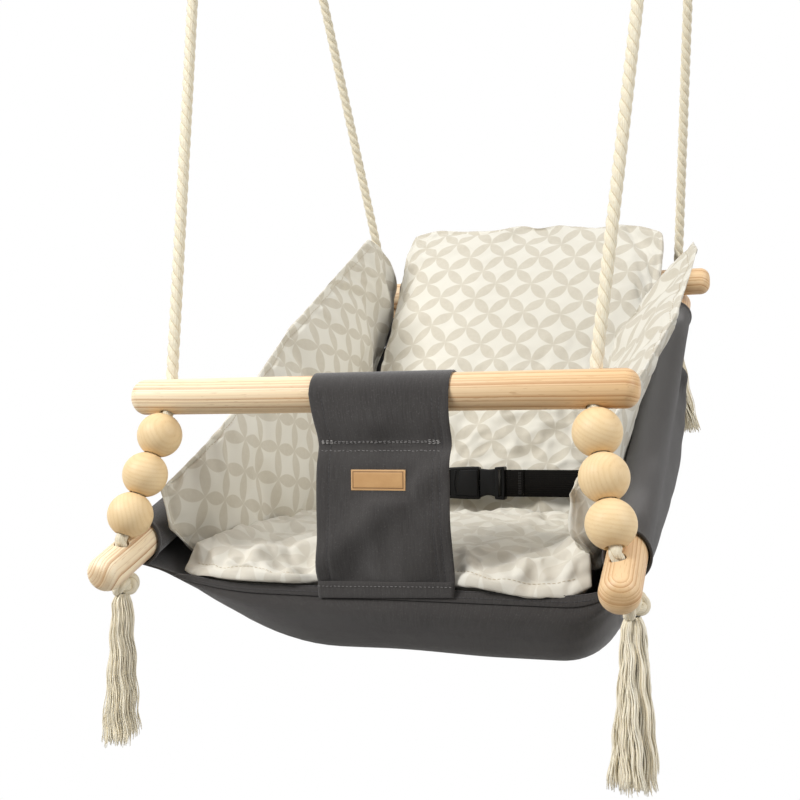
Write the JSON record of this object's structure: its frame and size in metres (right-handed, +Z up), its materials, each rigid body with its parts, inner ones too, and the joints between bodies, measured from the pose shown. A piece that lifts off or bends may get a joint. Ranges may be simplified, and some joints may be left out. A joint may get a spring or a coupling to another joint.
{
  "type": "baby swing seat",
  "caption": "Hanging baby swing seat: dark canvas sling with printed padded inserts between wooden bars, with beads, a crotch strap, a lap belt and tassels, on ropes with rings.",
  "frame": {"origin": "midway between the bearing points of the four hanging rings", "axes": "+X to the sitter's left, seen from the front as right, +Y to the backrest, +Z up"},
  "size_m": [0.4554, 0.5857, 0.837],
  "materials": {
    "pine": "sanded, clear oil",
    "beech": "sanded smooth",
    "cotton_rope": "three-strand twisted cotton",
    "canvas": "plain woven, matt",
    "printed_cotton": "printed cotton, matt",
    "webbing": "woven polypropylene",
    "buckle_plastic": "fine spark texture",
    "leather": "vegetable tanned",
    "steel": "satin"
  },
  "bodies": {
    "hang_rings": {"hang_ring_front_left": "steel", "hang_ring_front_right": "steel", "hang_ring_rear_left": "steel", "hang_ring_rear_right": "steel"},
    "front_ropes": {"rope_front_left": "cotton_rope", "rope_front_right": "cotton_rope", "whipping_front_left": "cotton_rope", "whipping_front_right": "cotton_rope"},
    "seat": {"back_bar": "pine", "back_cushion": "printed_cotton", "belt_left": "webbing", "buckle_socket": "buckle_plastic", "canvas_seat": "canvas", "canvas_side_left": "canvas", "canvas_side_right": "canvas", "crotch_strap": "canvas", "front_bar": "pine", "front_hem": "canvas", "knot_front_left": "cotton_rope", "knot_front_right": "cotton_rope", "knot_rear_left": "cotton_rope", "knot_rear_right": "cotton_rope", "label_patch": "leather", "rope_lower_front_left": "cotton_rope", "rope_lower_front_right": "cotton_rope", "rope_lower_rear_left": "cotton_rope", "rope_lower_rear_right": "cotton_rope", "seat_cushion": "printed_cotton", "side_bar_left": "pine", "side_bar_right": "pine", "sleeve_back": "canvas", "sleeve_left": "canvas", "sleeve_right": "canvas", "wing_cushion_left": "printed_cotton", "wing_cushion_right": "printed_cotton"},
    "rear_ropes": {"rope_rear_left": "cotton_rope", "rope_rear_right": "cotton_rope", "whipping_rear_left": "cotton_rope", "whipping_rear_right": "cotton_rope"},
    "bead_left_1": {"bead_left_1": "beech"},
    "bead_left_2": {"bead_left_2": "beech"},
    "bead_left_3": {"bead_left_3": "beech"},
    "bead_right_1": {"bead_right_1": "beech"},
    "bead_right_2": {"bead_right_2": "beech"},
    "bead_right_3": {"bead_right_3": "beech"},
    "tassel_front_left": {"tassel_front_left": "cotton_rope"},
    "tassel_front_right": {"tassel_front_right": "cotton_rope"},
    "tassel_rear_left": {"tassel_rear_left": "cotton_rope"},
    "tassel_rear_right": {"tassel_rear_right": "cotton_rope"},
    "buckle_plug": {"buckle_plug": "buckle_plastic", "belt_right": "webbing"}
  },
  "joints": [
    {"name": "front_ropes_swing", "type": "hinge", "parent": "hang_rings", "child": "front_ropes", "pos_m": [0, -0.11494, -0.04807], "axis": [1, 0, 0], "range_deg": [-10, 10]},
    {"name": "seat_on_front_ropes", "type": "hinge", "parent": "front_ropes", "child": "seat", "pos_m": [0, -0.22446, -0.48833], "axis": [1, 0, 0], "range_deg": [-6, 6]},
    {"name": "rear_ropes_on_seat", "type": "hinge", "parent": "seat", "child": "rear_ropes", "pos_m": [0, 0.26004, -0.36333], "axis": [1, 0, 0], "range_deg": [-6, 6]},
    {"name": "bead_left_1_spin", "type": "hinge", "parent": "seat", "child": "bead_left_1", "pos_m": [-0.17218, -0.23471, -0.51832], "axis": [-0.1917, -0.3416, -0.9201], "continuous": true},
    {"name": "bead_left_2_spin", "type": "hinge", "parent": "seat", "child": "bead_left_2", "pos_m": [-0.17851, -0.24599, -0.54871], "axis": [-0.1917, -0.3416, -0.9201], "continuous": true},
    {"name": "bead_left_3_spin", "type": "hinge", "parent": "seat", "child": "bead_left_3", "pos_m": [-0.18484, -0.25727, -0.5791], "axis": [-0.1917, -0.3416, -0.9201], "continuous": true},
    {"name": "bead_right_1_spin", "type": "hinge", "parent": "seat", "child": "bead_right_1", "pos_m": [0.17218, -0.23471, -0.51832], "axis": [0.1917, -0.3416, -0.9201], "continuous": true},
    {"name": "bead_right_2_spin", "type": "hinge", "parent": "seat", "child": "bead_right_2", "pos_m": [0.17851, -0.24599, -0.54871], "axis": [0.1917, -0.3416, -0.9201], "continuous": true},
    {"name": "bead_right_3_spin", "type": "hinge", "parent": "seat", "child": "bead_right_3", "pos_m": [0.18484, -0.25727, -0.5791], "axis": [0.1917, -0.3416, -0.9201], "continuous": true},
    {"name": "tassel_front_left_swing", "type": "hinge", "parent": "seat", "child": "tassel_front_left", "pos_m": [-0.19688, -0.24815, -0.63349], "axis": [1, 0, 0], "range_deg": [-20, 20]},
    {"name": "tassel_front_right_swing", "type": "hinge", "parent": "seat", "child": "tassel_front_right", "pos_m": [0.19688, -0.24815, -0.63349], "axis": [1, 0, 0], "range_deg": [-20, 20]},
    {"name": "tassel_rear_left_swing", "type": "hinge", "parent": "seat", "child": "tassel_rear_left", "pos_m": [-0.16173, 0.2777, -0.41339], "axis": [1, 0, 0], "range_deg": [-20, 20]},
    {"name": "tassel_rear_right_swing", "type": "hinge", "parent": "seat", "child": "tassel_rear_right", "pos_m": [0.16173, 0.2777, -0.41339], "axis": [1, 0, 0], "range_deg": [-20, 20]},
    {"name": "buckle_release", "type": "slide", "parent": "seat", "child": "buckle_plug", "axis": [1, 0, 0], "range_m": [0, 0.02]}
  ],
  "couplings": [
    {"joint": "seat_on_front_ropes", "follows": "front_ropes_swing", "ratio": -0.497},
    {"joint": "rear_ropes_on_seat", "follows": "front_ropes_swing", "ratio": 0.415}
  ]
}
